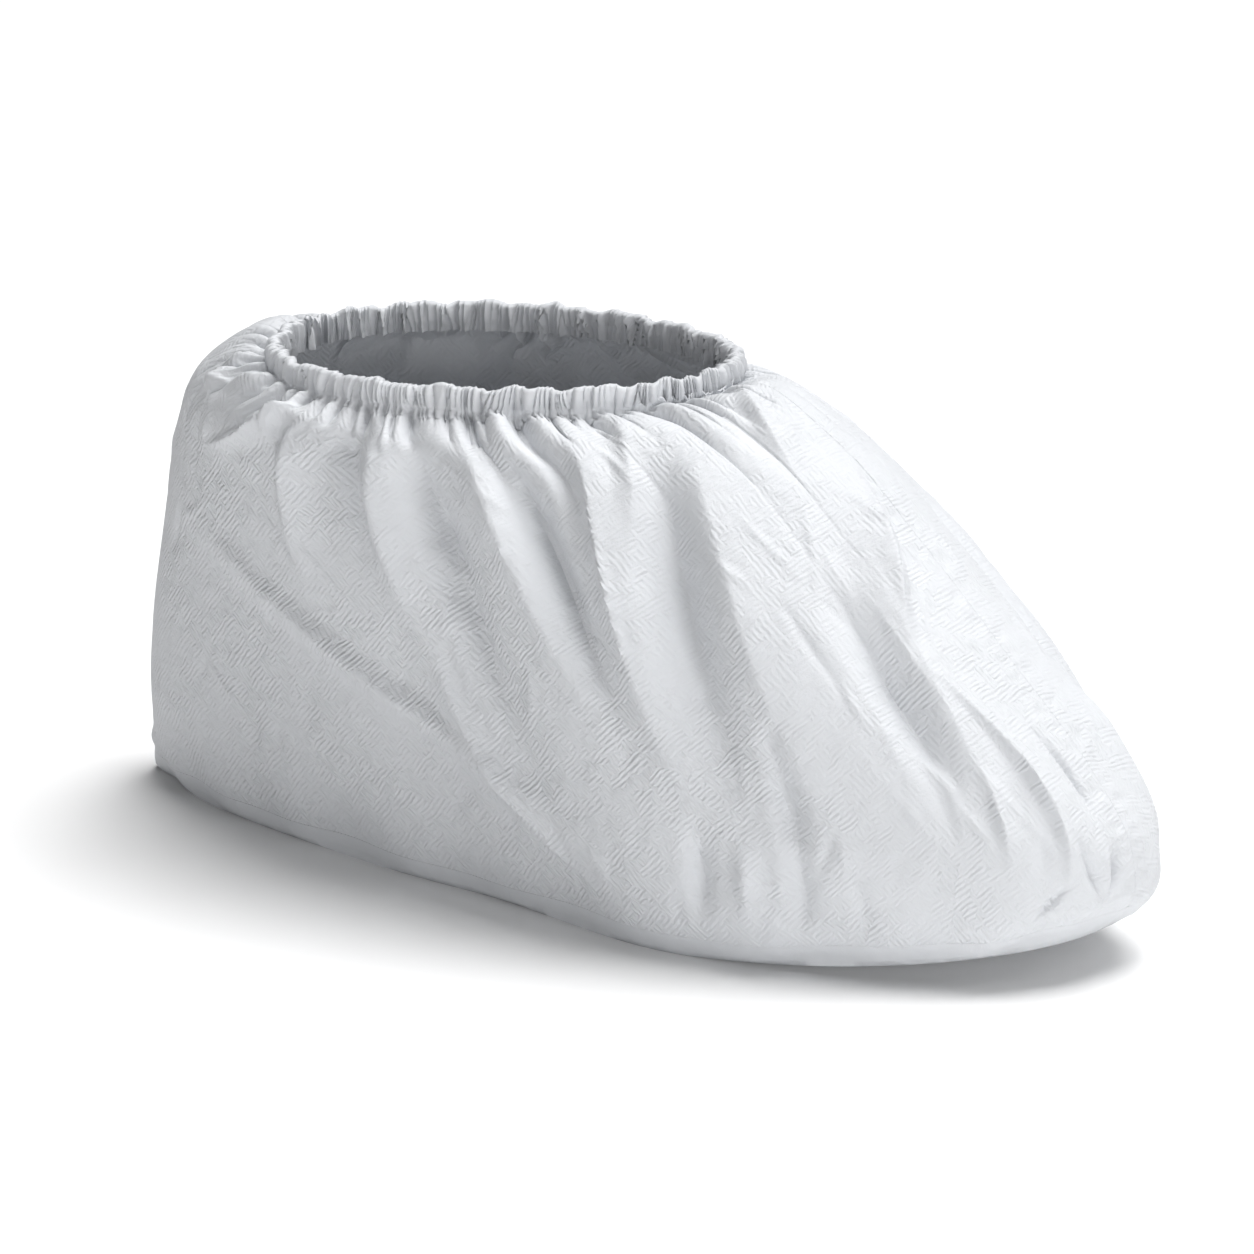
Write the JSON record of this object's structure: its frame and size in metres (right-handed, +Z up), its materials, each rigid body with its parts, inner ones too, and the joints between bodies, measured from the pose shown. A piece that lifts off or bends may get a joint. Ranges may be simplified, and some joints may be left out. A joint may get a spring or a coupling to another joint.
{
  "type": "shoe cover",
  "caption": "Slip-on cloth cover for a shoe: two seamed side panels, an upturned sole panel and a gathered elastic casing that closes round the ankle.",
  "frame": {"origin": "on the floor, under the middle of the cover's box", "axes": "+X to the toe, +Y to the inner side of the foot (a right foot's left), +Z up"},
  "size_m": [0.3271, 0.1264, 0.1483],
  "materials": {
    "panel_cloth": "white embossed nonwoven, matt with a faint film sheen",
    "sole_cloth": "white smooth coated nonwoven, satin",
    "casing_cloth": "white nonwoven, tightly gathered, matt"
  },
  "bodies": {
    "root": {"outer_side_panel": "panel_cloth", "inner_side_panel": "panel_cloth", "sole_panel": "sole_cloth", "elastic_collar": "casing_cloth"}
  },
  "joints": []
}
